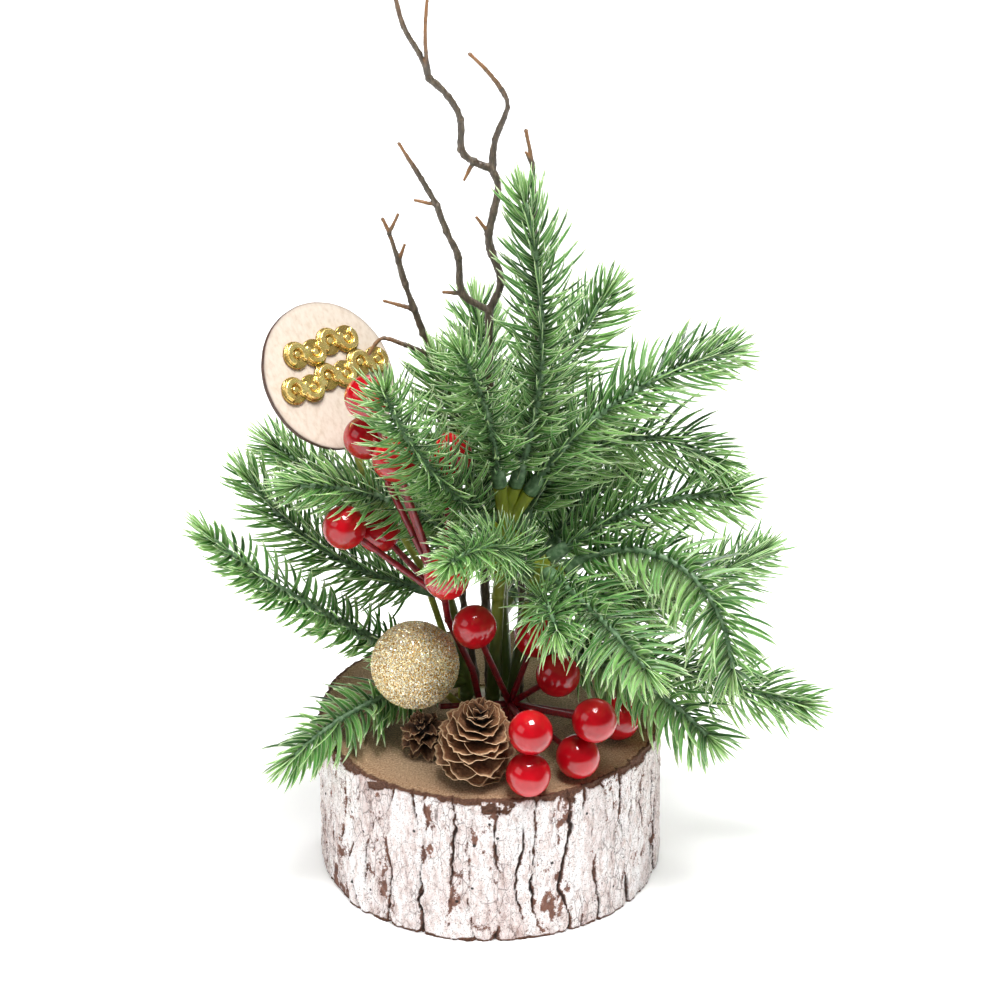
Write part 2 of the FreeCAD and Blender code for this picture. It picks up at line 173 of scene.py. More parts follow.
class Graph:
    """Adds and links the nodes of a shader tree."""

    def __init__(self, tree):
        self.tree = tree

    def node(self, kind, settings=None, **inputs):
        """A new node; each input is given by its name, or as i0, i1 and so on by its place."""
        made = self.tree.nodes.new(kind)
        for key, value in (settings or {}).items():
            setattr(made, key, value)
        for key, value in inputs.items():
            socket = made.inputs[int(key[1:]) if key[1:].isdigit() else key]
            if isinstance(value, bpy.types.NodeSocket):
                self.tree.links.new(value, socket)
            else:
                socket.default_value = value
        return made

    def coordinates(self, scale=(1, 1, 1)):
        position = self.node("ShaderNodeTexCoord").outputs["Object"]
        stretched = self.node("ShaderNodeVectorMath", {"operation": "MULTIPLY"}, i0=position, i1=scale)
        return stretched.outputs[0]

    def noise(self, vector, scale, detail=4.0, roughness=0.55):
        return self.node("ShaderNodeTexNoise", i0=vector, Scale=scale, Detail=detail,
                         Roughness=roughness).outputs["Fac"]

    def voronoi(self, vector, scale, feature="F1"):
        return self.node("ShaderNodeTexVoronoi", {"feature": feature}, Vector=vector,
                         Scale=scale).outputs["Distance"]

    def ramp(self, value, stops):
        """Colour ramp; stops are (position, colour)."""
        made = self.node("ShaderNodeValToRGB", Fac=value)
        band = made.color_ramp
        while len(band.elements) < len(stops):
            band.elements.new(0.5)
        for element, (position, colour) in zip(band.elements, stops):
            element.position = position
            element.color = (*colour, 1.0)
        return made.outputs["Color"]

    def levels(self, value, low, high, out_low=0.0, out_high=1.0):
        """Value mapped from low..high to out_low..out_high, clamped."""
        made = self.node("ShaderNodeMapRange", i0=value, i1=low, i2=high, i3=out_low, i4=out_high)
        return made.outputs[0]

    def math(self, operation, first, second=0.0):
        return self.node("ShaderNodeMath", {"operation": operation}, i0=first, i1=second).outputs[0]

    def sum(self, first, first_weight, second, second_weight):
        return self.math("ADD", self.math("MULTIPLY", first, first_weight),
                         self.math("MULTIPLY", second, second_weight))

    def mix(self, factor, first, second):
        """Blends two colours; factor 0 gives the first."""
        made = self.node("ShaderNodeMix", {"data_type": "RGBA"})
        for index, value in ((0, factor), (6, first), (7, second)):
            if isinstance(value, bpy.types.NodeSocket):
                self.tree.links.new(value, made.inputs[index])
            else:
                made.inputs[index].default_value = (*value, 1.0) if isinstance(value, tuple) else value
        return made.outputs[2]

    def attribute(self, name):
        """The three channels of a mesh attribute."""
        vector = self.node("ShaderNodeAttribute", {"attribute_name": name}).outputs["Vector"]
        split = self.node("ShaderNodeSeparateXYZ", i0=vector)
        return split.outputs[0], split.outputs[1], split.outputs[2]


class Shader(Graph):
    """One new material, with the given values on its Principled node."""

    def __init__(self, name, **sockets):
        self.material = bpy.data.materials.new(name)
        self.material.use_nodes = True
        super().__init__(self.material.node_tree)
        self.principled = self.tree.nodes["Principled BSDF"]
        for key, value in sockets.items():
            self.principled.inputs[key.replace("_", " ")].default_value = value

    def link(self, source, key):
        self.tree.links.new(source, self.principled.inputs[key])

    def bump(self, height, strength, distance):
        made = self.node("ShaderNodeBump", Strength=strength, Distance=distance, Height=height)
        self.link(made.outputs[0], "Normal")


def mottled_material(name, scale, stops, bump, stretch=(1, 1, 1), **sockets):
    """A material whose colour and bump, given as strength and distance, follow one noise."""
    shader = Shader(name, **sockets)
    mottle = shader.noise(shader.coordinates(stretch), scale)
    shader.link(shader.ramp(mottle, stops), "Base Color")
    shader.bump(mottle, *bump)
    return shader.material


def needle_material():
    """Dark at the root, a painted shade in the deep gaps, and in the groove; pale along the edges and at
    the tip, partly a paler border and partly a painted highlight.
    """
    dark, middle, light = (0.008, 0.052, 0.006), (0.130, 0.345, 0.080), (0.400, 0.670, 0.215)
    # Pale border colour, made whitish so that it also stands for a painted highlight.
    edge = (0.82, 0.96, 0.60)
    shader = Shader("needles_green", Roughness=0.42, Specular_IOR_Level=0.4, Subsurface_Weight=0.15,
                    Subsurface_Radius=(0.5, 1.0, 0.2), Subsurface_Scale=0.002, Coat_Weight=0.2,
                    Coat_Roughness=0.25)
    rim, along, tone = shader.attribute("needle")
    coords = shader.coordinates()
    mottle = shader.noise(coords, 420.0, 3.0)
    body = shader.ramp(tone, [(0.0, dark), (0.30, middle), (0.85, light)])
    body = shader.mix(shader.levels(mottle, 0.3, 0.7, 0.0, 0.30), body, dark)
    groove = shader.levels(rim, 0.0, 0.5, 0.50, 0.0)
    body = shader.mix(groove, body, dark)
    # Painted shade: needles darken towards the root, deep in the sprig between their neighbours.
    root = shader.levels(along, 0.0, 0.42, 0.85, 0.0)
    body = shader.mix(root, body, tuple(0.35 * c for c in dark))
    # Edges and tips turn pale: partly the needles' paler border, partly a painted highlight.
    border_and_highlight = shader.math("MULTIPLY", shader.levels(rim, 0.6, 1.0),
                         shader.levels(along, 0.0, 0.9, 0.35, 0.9))
    tip = shader.levels(along, 0.80, 1.0, 0.0, 0.75)
    shader.link(shader.mix(shader.math("MAXIMUM", border_and_highlight, tip), body, edge), "Base Color")
    shader.link(shader.levels(shader.noise(coords, 900.0, 2.0), 0.3, 0.7, 0.34, 0.52), "Roughness")
    shader.bump(shader.noise(coords, 1500.0, 2.0), 0.25, 0.0002)
    return shader.material


def rachis_material():
    stops = [(0.25, (0.028, 0.070, 0.026)), (0.50, (0.095, 0.190, 0.085)), (0.75, (0.26, 0.38, 0.22))]
    return mottled_material("sprig_rachis", 500.0, stops, (0.4, 0.0004), Roughness=0.5)


def stem_material():
    """Yellow-green plastic, darker low down, where painted shade stands for the shadow under the sprigs."""
    shader = Shader("moulded_stem", Roughness=0.38, Subsurface_Weight=0.1, Subsurface_Scale=0.002)
    coords = shader.coordinates((1, 1, 0.35))
    streak = shader.noise(coords, 260.0, 4.0)
    height = shader.node("ShaderNodeSeparateXYZ", i0=shader.coordinates()).outputs[2]
    upper = shader.ramp(streak, [(0.25, (0.16, 0.21, 0.016)), (0.6, (0.34, 0.39, 0.035)),
                                 (0.85, (0.50, 0.52, 0.09))])
    # Painted shade: a darker copy of the same plastic for the stems low down, under the sprigs.
    lower = shader.ramp(streak, [(0.25, (0.02, 0.040, 0.005)), (0.6, (0.065, 0.100, 0.014)),
                                 (0.85, (0.20, 0.24, 0.05))])
    shader.link(shader.mix(shader.levels(height, 0.075, 0.125), lower, upper), "Base Color")
    shader.bump(streak, 0.3, 0.0004)
    return shader.material


def twig_material():
    """Dark streaked bark, rusty where the twig is thin."""
    shader = Shader("twig_plastic", Roughness=0.42, Specular_IOR_Level=0.8)
    coords = shader.coordinates((1, 1, 0.3))
    ridges = shader.noise(coords, 900.0, 5.0, 0.7)
    patches = shader.noise(shader.coordinates(), 120.0, 3.0)
    colour = shader.ramp(ridges, [(0.25, (0.016, 0.010, 0.006)), (0.5, (0.075, 0.050, 0.030)),
                                  (0.75, (0.24, 0.185, 0.125))])
    colour = shader.mix(shader.levels(patches, 0.45, 0.75, 0.0, 0.6), colour, (0.055, 0.048, 0.024))
    thin = shader.attribute("twig")[0]
    colour = shader.mix(shader.math("MULTIPLY", thin, 0.8), colour, (0.30, 0.13, 0.035))
    shader.link(colour, "Base Color")
    shader.bump(ridges, 0.8, 0.0006)
    return shader.material


def berry_material():
    shader = Shader("berry_lacquer", Roughness=0.45, Coat_Weight=1.0, Coat_Roughness=0.015, Coat_IOR=1.55,
                    Specular_IOR_Level=0.1)
    coords = shader.coordinates()
    cloud = shader.noise(coords, 110.0, 3.0)
    speck = shader.noise(coords, 900.0, 2.0)
    colour = shader.ramp(cloud, [(0.3, (0.33, 0.000, 0.004)), (0.6, (0.48, 0.001, 0.008)),
                                 (0.85, (0.60, 0.005, 0.012))])
    colour = shader.mix(shader.levels(speck, 0.66, 0.75, 0.0, 0.35), colour, (0.22, 0.0, 0.004))
    shader.link(colour, "Base Color")
    shader.bump(cloud, 0.05, 0.0008)
    return shader.material


def wire_material():
    stops = [(0.3, (0.10, 0.002, 0.006)), (0.6, (0.24, 0.004, 0.012)), (0.85, (0.38, 0.012, 0.022))]
    return mottled_material("berry_wire_wrap", 600.0, stops, (0.5, 0.0005), Roughness=0.36,
                            Coat_Weight=0.3, Coat_Roughness=0.15)


def glitter_material():
    shader = Shader("gold_glitter", Metallic=0.35, Roughness=0.30)
    tone = shader.attribute("flake")[0]
    shader.link(shader.ramp(tone, [(0.0, (0.28, 0.115, 0.012)), (0.18, (0.72, 0.42, 0.09)),
                                   (0.38, (1.0, 0.79, 0.37)), (0.62, (1.0, 0.92, 0.60)),
                                   (1.0, (1.0, 0.99, 0.84))]), "Base Color")
    shader.link(shader.levels(tone, 0.0, 1.0, 0.45, 0.16), "Roughness")
    return shader.material


def cone_material(name, shade):
    """Woody scales with a pale rim, darkened towards the core by painted shade, near black; the factor
    shade scales every colour but that near black.
    """
    dark, brown, tan, rust, edge = (tuple(shade * c for c in colour) for colour in (
        (0.085, 0.032, 0.012), (0.250, 0.112, 0.048), (0.50, 0.265, 0.130), (0.24, 0.085, 0.028),
        (0.88, 0.60, 0.36)))
    shader = Shader(name, Roughness=0.62)
    rim, out, tone = shader.attribute("scale")
    grain = shader.noise(shader.coordinates(), 750.0, 5.0, 0.65)
    body = shader.ramp(grain, [(0.30, dark), (0.50, brown), (0.72, tan)])
    body = shader.mix(shader.levels(tone, 0.0, 1.0, 0.0, 0.5), body, rust)
    # Painted shade: scales turn near black towards their roots, deep between their neighbours.
    body = shader.mix(shader.levels(out, 0.30, 0.98, 0.98, 0.0), body, (0.008, 0.003, 0.001))
    shader.link(shader.mix(shader.levels(rim, 0.90, 1.0, 0.0, 0.95), body, edge), "Base Color")
    shader.bump(grain, 0.6, 0.0006)
    return shader.material


def sawn_colour(shader):
    """Rough sawn end grain with faint year rings, the same over the wood and the bark's cut edge."""
    coords = shader.coordinates()
    fibre = shader.noise(coords, 1500.0, 5.0, 0.75)
    cloud = shader.noise(coords, 45.0, 4.0)
    split = shader.node("ShaderNodeSeparateXYZ", i0=coords)
    radius = shader.math("SQRT", shader.math("ADD", shader.math("POWER", split.outputs[0], 2.0),
                                             shader.math("POWER", split.outputs[1], 2.0)))
    wobble = shader.math("ADD", radius, shader.math("MULTIPLY", cloud, 0.006))
    rings = shader.math("SINE", shader.math("MULTIPLY", wobble, 2200.0))
    base = shader.ramp(fibre, [(0.34, (0.120, 0.060, 0.028)), (0.5, (0.400, 0.260, 0.150)),
                               (0.66, (0.80, 0.59, 0.385))])
    base = shader.mix(shader.levels(rings, -1.0, 1.0, 0.0, 0.16), base, (0.20, 0.125, 0.066))
    base = shader.mix(shader.levels(cloud, 0.4, 0.7, 0.0, 0.35), base, (0.47, 0.350, 0.220))
    base = shader.mix(shader.levels(radius, 0.040, 0.057, 0.0, 0.40), base, (0.300, 0.150, 0.075))
    speck = shader.voronoi(coords, 700.0)
    return shader.mix(shader.levels(speck, 0.10, 0.20, 0.6, 0.0), base, (0.045, 0.030, 0.020))


def bark_material():
    """White paint in rosy and clean plates, worn to brown wood, with dark cracks and a brown cut edge."""
    shader = Shader("whitewashed_bark", Roughness=0.85)
    paint, crack, brown = shader.attribute("bark")
    plate, sawn = shader.attribute("plate")[:2]
    coords = shader.coordinates()
    tall = shader.coordinates((1, 1, 0.4))
    grit = shader.noise(coords, 1300.0, 6.0, 0.75)
    streak = shader.noise(tall, 520.0, 6.0, 0.7)
    blush = shader.noise(tall, 75.0, 4.0)
    white = shader.ramp(streak, [(0.28, (0.50, 0.39, 0.36)), (0.40, (0.78, 0.68, 0.65)),
                                 (0.50, (0.93, 0.89, 0.88)), (0.7, (0.98, 0.96, 0.955))])
    rosy = shader.ramp(streak, [(0.30, (0.34, 0.21, 0.18)), (0.44, (0.58, 0.44, 0.41)),
                                (0.58, (0.78, 0.67, 0.64)), (0.72, (0.93, 0.87, 0.85))])
    white = shader.mix(shader.levels(shader.sum(blush, 0.8, plate, 0.55), 0.58, 0.92), white, rosy)
    wood = shader.ramp(streak, [(0.25, (0.045, 0.018, 0.012)), (0.5, (0.20, 0.085, 0.055)),
                                (0.8, (0.42, 0.22, 0.16))])
    worn = shader.math("ADD", paint, shader.levels(grit, 0.3, 0.7, -0.30, 0.30))
    colour = shader.mix(shader.levels(worn, 0.34, 0.46), wood, white)
    pepper = shader.noise(coords, 2300.0, 3.0, 0.6)
    colour = shader.mix(shader.levels(pepper, 0.57, 0.64, 0.0, 0.85), colour, (0.10, 0.065, 0.058))
    thin = shader.voronoi(shader.coordinates((1, 1, 0.35)), 360.0, "DISTANCE_TO_EDGE")
    scratch = shader.math("MULTIPLY", shader.levels(thin, 0.0, 0.05, 0.8, 0.0),
                          shader.levels(blush, 0.42, 0.56))
    colour = shader.mix(scratch, colour, (0.14, 0.095, 0.085))
    colour = shader.mix(shader.levels(crack, 0.25, 0.80), colour, (0.030, 0.014, 0.010))
    dots = shader.voronoi(coords, 130.0)
    colour = shader.mix(shader.levels(dots, 0.065, 0.085, 0.95, 0.0), colour, (0.010, 0.008, 0.008))
    edge = shader.ramp(grit, [(0.30, (0.030, 0.011, 0.006)), (0.50, (0.105, 0.042, 0.022)),
                              (0.70, (0.22, 0.105, 0.060))])
    colour = shader.mix(brown, colour, edge)
    shader.link(shader.mix(sawn, colour, sawn_colour(shader)), "Base Color")
    shader.bump(shader.sum(grit, 0.6, streak, 0.8), 0.6, 0.0010)
    return shader.material


def wood_top_material():
    shader = Shader("sawn_end_grain", Roughness=0.8)
    shader.link(sawn_colour(shader), "Base Color")
    shader.bump(shader.noise(shader.coordinates(), 1500.0, 5.0, 0.75), 0.7, 0.0005)
    return shader.material


def disc_material():
    """Pale board with a charred edge."""
    shader = Shader("plaque_board", Roughness=0.6)
    burn = shader.attribute("board")[0]
    coords = shader.coordinates((1.0, 1.0, 0.18))
    grain = shader.noise(coords, 700.0, 5.0, 0.6)
    face = shader.ramp(grain, [(0.25, (0.52, 0.42, 0.33)), (0.5, (0.62, 0.53, 0.445)),
                               (0.8, (0.68, 0.60, 0.52))])
    charred = shader.ramp(shader.noise(shader.coordinates(), 900.0, 4.0),
                          [(0.3, (0.030, 0.012, 0.007)), (0.7, (0.120, 0.055, 0.035))])
    shader.link(shader.mix(burn, face, charred), "Base Color")
    shader.bump(grain, 0.25, 0.0003)
    return shader.material


def gilt_material():
    """Gold, with painted shade darkening the recesses of the relief."""
    shader = Shader("gilt_plate", Metallic=0.75, Roughness=0.25)
    coords = shader.coordinates()
    relief = shader.attribute("relief")[0]
    cloud = shader.noise(coords, 350.0, 3.0)
    gold = shader.ramp(cloud, [(0.3, (0.84, 0.58, 0.15)), (0.7, (1.0, 0.83, 0.36))])
    # Painted shade: the low parts of the relief, near the disc, turn dark brown-gold.
    recess_shade = shader.levels(relief, 0.30, 0.62, 0.85, 0.0)
    shader.link(shader.mix(recess_shade, gold, (0.30, 0.165, 0.030)), "Base Color")
    shader.link(shader.levels(cloud, 0.3, 0.7, 0.16, 0.32), "Roughness")
    shader.bump(shader.noise(coords, 500.0, 2.0), 0.25, 0.0005)
    return shader.material


def glue_material():
    stops = [(0.3, (0.30, 0.25, 0.15)), (0.7, (0.55, 0.49, 0.34))]
    return mottled_material("hot_melt_glue", 160.0, stops, (0.6, 0.0015), Roughness=0.3,
                            Subsurface_Weight=0.3, Subsurface_Scale=0.004)


def stick_material():
    stops = [(0.3, (0.22, 0.25, 0.03)), (0.7, (0.46, 0.47, 0.10))]
    return mottled_material("stick_plastic", 300.0, stops, (0.3, 0.0003), (1, 1, 0.3), Roughness=0.35)


# ---- needle sprigs

SOCKET_LENGTH = 9.0
FOLIAGE_MARGIN = 7.0
NEEDLE_PITCH = 2.15
NEEDLE_LENGTH = 21.0
NEEDLE_WIDTH = 1.08
NEEDLE_THICKNESS = 1.16
# Share of the full width at even stations from a needle's base to its tip; then the points of its
# section, as shares of half the width and half the thickness, with how near the rim each is.
NEEDLE_PROFILE = np.array([0.70, 0.95, 1.0, 0.95, 0.84, 0.60, 0.10])
NEEDLE_SECTION = [(-1.0, 0.0, 1.0), (-0.48, 0.42, 0.35), (0.0, 0.12, 0.0), (0.48, 0.42, 0.35),
                  (1.0, 0.0, 1.0), (0.0, -0.5, 0.15)]
TIP_NEEDLES = 13
TIP_NEEDLE_LENGTH = 12.0

# Needles of one ring: angle round the stalk in degrees, and length as a share of NEEDLE_LENGTH.
AROUND = [(0, 1.0), (45, 0.92), (90, 0.8), (135, 0.92), (180, 1.0), (225, 0.92), (270, 0.78), (315, 0.92)]
COMB = [(0, 1.08), (18, 0.95), (62, 0.62), (118, 0.62), (162, 0.95), (180, 1.08), (270, 0.6)]
STYLES = {
    "brush": {"around": AROUND, "lean": 68.0, "curl": 30.0, "width": 1.0, "pitch": 1.0},
    "comb": {"around": COMB, "lean": 80.0, "curl": 34.0, "width": 1.35, "pitch": 1.0},
    "dense": {"around": AROUND, "lean": 74.0, "curl": 26.0, "width": 1.05, "pitch": 0.78},
}
COMB_SPRIGS = {"sprig_right_3", "sprig_right_2", "sprig_left_2", "sprig_left_3", "sprig_right_4"}
DENSE_SPRIGS = {"sprig_upper_6", "sprig_right_8", "sprig_back_1", "sprig_back_2", "sprig_back_3",
                "sprig_back_4", "sprig_back_5"}


def section_centre(points, edges, origin, way, reach):
    """Centroid of the CAD solid's cut by the plane at origin across way, or None past its end."""
    side = (points - origin) @ way
    first, second = side[edges[:, 0]], side[edges[:, 1]]
    crossing = (first < 0) != (second < 0)
    if not crossing.any():
        return None
    pair = edges[crossing]
    share = first[crossing] / (first[crossing] - second[crossing])
    cut = points[pair[:, 0]] + (points[pair[:, 1]] - points[pair[:, 0]]) * share[:, None]
    cut = cut[np.linalg.norm(cut - origin, axis=1) < reach]
    if len(cut) < 4:
        return None
    middle = cut.mean(axis=0)
    across = unit(np.cross(way, (0.3, 0.2, 0.93)))
    over = np.cross(way, across)
    angle = np.arctan2((cut - middle) @ over, (cut - middle) @ across)
    ring = cut[np.argsort(angle)]
    following = np.roll(ring, -1, axis=0)
    area = 0.5 * np.einsum("ij,j->i", np.cross(ring - middle, following - middle), way)
    centroids = (ring + following + middle) / 3
    return (centroids * area[:, None]).sum(axis=0) / area.sum() if abs(area.sum()) > 1e-6 else middle


def sprig_centreline(name, joint):
    """Points up the middle of the CAD sprig, from its socket to its tip."""
    step, reach = 3.0, 12.0
    points = node_points(name)
    mesh = NODES[name].data
    edges = np.empty(len(mesh.edges) * 2, dtype=int)
    mesh.edges.foreach_get("vertices", edges)
    edges = edges.reshape(-1, 2)
    way = unit(joint["axis"])
    root = np.array(joint["pos_m"]) / MM
    here = root + way * SOCKET_LENGTH
    line = [root, here]
    centre = section_centre(points, edges, here + way * step, way, reach)
    while centre is not None:
        way = unit(centre - here)
        here = centre
        line.append(here)
        centre = section_centre(points, edges, here + way * step, way, reach)
    far = points[np.argmax((points - here) @ way)]
    line.append(here + way * max(0.5, (far - here) @ way))
    return np.array(line)


class Path:
    """A smoothed line, sampled by its length, with a frame carried along it without twisting."""

    def __init__(self, line, level):
        runs = np.linalg.norm(np.diff(line, axis=0), axis=1)
        at = np.concatenate([[0.0], np.cumsum(runs)])
        self.length = at[-1]
        self.grid = np.linspace(0, self.length, max(8, int(self.length)))
        smooth = np.stack([np.interp(self.grid, at, line[:, k]) for k in range(3)], axis=1)
        for _ in range(6):
            smooth[1:-1] = 0.25 * smooth[:-2] + 0.5 * smooth[1:-1] + 0.25 * smooth[2:]
        self.points = smooth
        self.ways = unit(np.gradient(smooth, axis=0))
        side = unit(np.cross(self.ways[0], level))
        sides = []
        for way in self.ways:
            side = unit(side - way * (side @ way))
            sides.append(side)
        self.sides = np.array(sides)

    def sample(self, run):
        """Point, forward way and the two ways across it at a run from the start."""
        def pick(table):
            return np.stack([np.interp(run, self.grid, table[:, k]) for k in range(3)], axis=-1)
        way = unit(pick(self.ways))
        side = pick(self.sides)
        side = unit(side - way * (side @ way))
        return pick(self.points), way, side, np.cross(way, side)


def needle_rows(path, rng, style, roll):
    """Each needle of a sprig: its base, outward way and forward way, its length and width, its lean from
    the stalk at the base and at the tip in degrees, and its tone."""
    rows = []
    start, tip = FOLIAGE_MARGIN, path.length - FOLIAGE_MARGIN
    count = int((tip - start) / (NEEDLE_PITCH * style["pitch"]))
    for ring in range(count + 1):
        run = start + (tip - start) * ring / count
        share = (run - start) / (tip - start)
        _, way, side, over = path.sample(run)
        reach = min(1.0, 0.72 + share * 2.2, 0.70 + (1 - share) * 1.4)
        spin = 20.0 * (ring % 2) + roll
        for angle, scale in style["around"]:
            missing = rng.random() < 0.06
            if missing:
                continue
            turn = math.radians(angle + spin + rng.normal(0, 8))
            outward = swing(side, over, turn)
            lean = style["lean"] - 22.0 * max(0.0, share - 0.60) / 0.40 + rng.normal(0, 7)
            length = NEEDLE_LENGTH * scale * reach * rng.uniform(0.80, 1.08)
            base = path.sample(run + rng.uniform(-0.5, 0.5))[0]
            # Tone is random in part; needles that point down are made paler, a painted light from below.
            tone = 0.62 * rng.random() + 0.38 * max(0.0, -outward[2])
            width = NEEDLE_WIDTH * rng.uniform(0.85, 1.12) * style["width"]
            rows.append((base, outward, way, length, width, lean,
                         lean - style["curl"] + rng.normal(0, 8), tone))
    centre, way, side, over = path.sample(tip)
    for index in range(TIP_NEEDLES):
        turn = GOLDEN_ANGLE * index + math.radians(rng.normal(0, 8))
        outward = swing(side, over, turn)
        lean = 5.0 + 2.9 * index
        rows.append((centre + way * (1.2 - 0.1 * index), outward, way,
                     TIP_NEEDLE_LENGTH * rng.uniform(0.85, 1.1), NEEDLE_WIDTH * 0.85, lean, lean - 8.0,
                     0.4 + 0.4 * rng.random()))
    return rows


def build_needles(rows):
    """All needles of a sprig as flat, grooved, slightly curved blades."""
    base, outward, way, length, width, lean, end_lean, tone = (
        np.array([row[k] for row in rows]) for k in range(8))
    stations, ring = len(NEEDLE_PROFILE), len(NEEDLE_SECTION)
    normal = np.cross(way, outward)
    shares = np.linspace(0, 1, stations)
    step = (length / (stations - 1))[:, None]
    spine = np.repeat(base[:, None], stations, axis=1)
    heads = np.zeros((len(rows), stations, 3))
    for station, share in enumerate(shares):
        angle = np.radians(lean + (end_lean - lean) * share)
        heads[:, station] = np.cos(angle)[:, None] * way + np.sin(angle)[:, None] * outward
        if station:
            middle = 0.5 * (heads[:, station] + heads[:, station - 1])
            spine[:, station] = spine[:, station - 1] + middle * step
    across = np.cross(heads, normal[:, None])
    half_width = 0.5 * width[:, None] * NEEDLE_PROFILE[None]
    half_thick = 0.5 * NEEDLE_THICKNESS * np.minimum(1.0, NEEDLE_PROFILE * 1.3)[None]
    verts = np.empty((len(rows), stations, ring, 3))
    data = np.empty_like(verts)
    for index, (x, y, rim) in enumerate(NEEDLE_SECTION):
        verts[:, :, index] = (spine + across * (x * half_width)[..., None]
                              + normal[:, None] * (y * half_thick)[..., None])
        data[:, :, index, 0] = rim
        data[:, :, index, 1] = shares[None]
        data[:, :, index, 2] = tone[:, None]
    per = stations * ring
    single = ring_faces(stations, ring)
    single += [tuple(range(ring - 1, -1, -1)), tuple(range(per - ring, per))]
    faces = []
    for needle in range(len(rows)):
        faces += shifted(single, needle * per)
    return verts.reshape(-1, 3), faces, data.reshape(-1, 3)


def build_rachis(path, sides=10):
    """The moulded stalk: a smooth socket, then a tapering stalk with a bump at every needle pitch."""
    runs = [0.02, 0.3, 1.5, 4.0, 7.0, 8.6]
    radii = [2.25, 2.55, 2.6, 2.5, 2.3, 1.9]
    start, tip = 10.0, path.length - 8.0
    run = start
    while run < tip:
        radius = 1.45 - 0.65 * (run - start) / (tip - start)
        runs += [run, run + NEEDLE_PITCH * 0.35, run + NEEDLE_PITCH * 0.7]
        radii += [radius * 0.9, radius * 1.18, radius]
        run += NEEDLE_PITCH
    runs += [tip + 0.6, tip + 1.0]
    radii += [0.6, 0.15]
    verts = []
    for run, radius in zip(runs, radii):
        centre, _, side, over = path.sample(min(run, path.length - 0.1))
        for index in range(sides):
            verts.append(centre + radius * swing(side, over, 2 * math.pi * index / sides))
    faces = ring_faces(len(runs), sides)
    faces += [tuple(range(sides - 1, -1, -1)), tuple(range(len(verts) - sides, len(verts)))]
    return np.array(verts), faces


def build_sprig(joint, index, needle_look, stalk_look):
    """The needles and the stalk of one sprig, as one piece in the place of its CAD node."""
    name = joint["child"]
    rng = np.random.default_rng(100 + index)
    upright = abs(joint["axis"][2]) >= 0.93
    path = Path(sprig_centreline(name, joint), (0, -1, 0) if upright else (0, 0, 1))
    kind = "comb" if name in COMB_SPRIGS else "dense" if name in DENSE_SPRIGS else "brush"
    roll = 0.0 if kind == "comb" else rng.uniform(0, 45)
    verts, faces, data = build_needles(needle_rows(path, rng, STYLES[kind], roll))
    stalk, stalk_faces = build_rachis(path)
    piece = make_piece(name + "_needles", np.vstack([verts, stalk]),
                       faces + shifted(stalk_faces, len(verts)), needle_look, name, (name,),
                       data={"needle": np.vstack([data, np.zeros_like(stalk)])})
    piece.data.materials.append(stalk_look)
    looks = np.zeros(len(piece.data.polygons), dtype=np.int32)
    looks[len(faces):] = 1
    piece.data.polygons.foreach_set("material_index", looks)


def build_sprigs():
    needle_look, stalk_look = needle_material(), rachis_material()
    joints = [joint for joint in frame["joints"] if joint["child"].startswith("sprig_")]
    for index, joint in enumerate(joints):
        build_sprig(joint, index, needle_look, stalk_look)


# ---- log slice

BARK_COLUMNS = 660
BARK_ROWS = 128
RIM_STEPS = 12
PLATE_WIDTH = 7.6
STRIP_WIDTH = 2.9


def wandering_cracks(around, height, width, circumference, seed, wander):
    """Distance to the nearest of many upright wandering cracks, that crack's number, and the number of
    the plate between cracks."""
    count = int(circumference / width)
    rng = np.random.default_rng(seed)
    jitter = rng.uniform(-0.33, 0.33, count)
    place = around / circumference * count
    nearest = np.full(place.shape, 99.0)
    crack = np.zeros(place.shape, int)
    plate = np.zeros(place.shape, int)
    base = np.floor(place).astype(int)
    for offset in (-1, 0, 1, 2):
        number = (base + offset) % count
        sway = value_noise(columns(number * 3.7, height * 0.050, number * 0.31), seed + 1) - 0.5
        twitch = fractal(columns(number * 1.9, height * 0.22, number * 0.77), seed + 2, 3) - 0.5
        line = base + offset + jitter[number] + wander * sway + 0.42 * wander * twitch
        gap = (place - line) * circumference / count
        plate = np.where(gap > 0, number, plate)
        closer = np.abs(gap) < nearest
        nearest = np.where(closer, np.abs(gap), nearest)
        crack = np.where(closer, number, crack)
    return nearest, crack, plate


